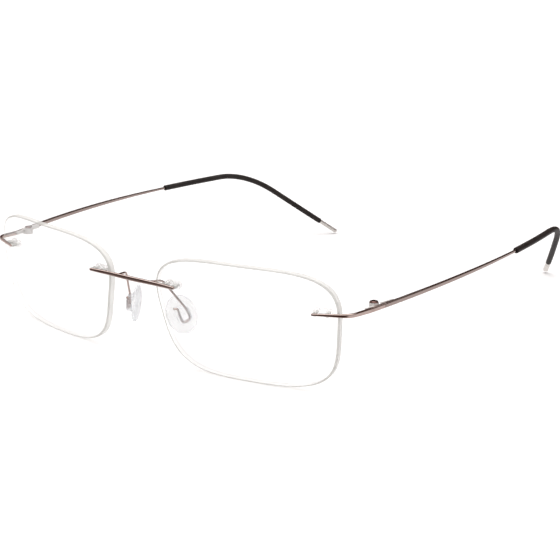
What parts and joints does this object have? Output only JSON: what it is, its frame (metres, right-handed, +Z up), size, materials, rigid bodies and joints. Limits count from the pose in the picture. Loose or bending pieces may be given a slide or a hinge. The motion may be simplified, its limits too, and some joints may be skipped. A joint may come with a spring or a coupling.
{
  "type": "rimless eyeglasses",
  "caption": "Rimless eyeglasses: clear drilled lenses on a slim metal bridge bar and endpieces, with silicone nose pads and thin folding metal temples.",
  "frame": {"origin": "under the middle of the glasses, on the surface that the lens bottoms and temple tips stand on", "axes": "+X towards the wearer's left, +Y back along the open temples, +Z up"},
  "size_m": [0.137, 0.1494, 0.0317],
  "materials": {
    "clear_lens": "polished clear, with a fine ground edge",
    "clear_sleeve": "clear moulded plastic",
    "silicone_pad": "clear soft silicone",
    "rubber_sleeve": "smooth near-black",
    "polished_bar": "polished rose-tinted gunmetal plating",
    "satin_temple": "satin rose-tinted gunmetal plating",
    "hinge_metal": "fine tumbled silver",
    "screw_metal": "polished dark steel",
    "pin_metal": "bright steel"
  },
  "bodies": {
    "front": {"bridge_bar": "polished_bar", "lens_left": "clear_lens", "lens_right": "clear_lens", "endpiece_left": "polished_bar", "endpiece_right": "polished_bar", "hinge_body_left": "hinge_metal", "hinge_body_right": "hinge_metal", "hinge_screw_left": "screw_metal", "hinge_screw_right": "screw_metal", "pad_arm_left": "polished_bar", "pad_arm_right": "polished_bar", "plug_sleeve_bridge_left": "clear_sleeve", "plug_sleeve_bridge_right": "clear_sleeve", "plug_sleeve_endpiece_left": "clear_sleeve", "plug_sleeve_endpiece_right": "clear_sleeve", "bridge_pin_left_1": "pin_metal", "bridge_pin_left_2": "pin_metal", "bridge_pin_right_1": "pin_metal", "bridge_pin_right_2": "pin_metal", "endpiece_pin_left_1": "pin_metal", "endpiece_pin_left_2": "pin_metal", "endpiece_pin_right_1": "pin_metal", "endpiece_pin_right_2": "pin_metal"},
    "temple_left_arm": {"temple_left": "satin_temple", "tip_sleeve_left": "rubber_sleeve", "hinge_leaf_left": "hinge_metal"},
    "temple_right_arm": {"temple_right": "satin_temple", "tip_sleeve_right": "rubber_sleeve", "hinge_leaf_right": "hinge_metal"},
    "pad_left": {"nose_pad_left": "silicone_pad"},
    "pad_right": {"nose_pad_right": "silicone_pad"}
  },
  "joints": [
    {"name": "fold_left", "type": "hinge", "parent": "front", "child": "temple_left_arm", "pos_m": [0.0636, -0.05313, 0.022], "axis": [0, -0.0088, 1], "range_deg": [0, 85]},
    {"name": "fold_right", "type": "hinge", "parent": "front", "child": "temple_right_arm", "pos_m": [-0.0636, -0.05313, 0.022], "axis": [0, 0.0088, -1], "range_deg": [0, 78]},
    {"name": "rock_pad_left", "type": "hinge", "parent": "front", "child": "pad_left", "pos_m": [0.01025, -0.065, 0.01216], "axis": [-0.292, -0.2718, 0.917], "range_deg": [-5, 5], "stiffness_Nm_per_rad": 0.003},
    {"name": "rock_pad_right", "type": "hinge", "parent": "front", "child": "pad_right", "pos_m": [-0.01025, -0.065, 0.01216], "axis": [-0.292, 0.2718, -0.917], "range_deg": [-5, 5], "stiffness_Nm_per_rad": 0.003}
  ]
}
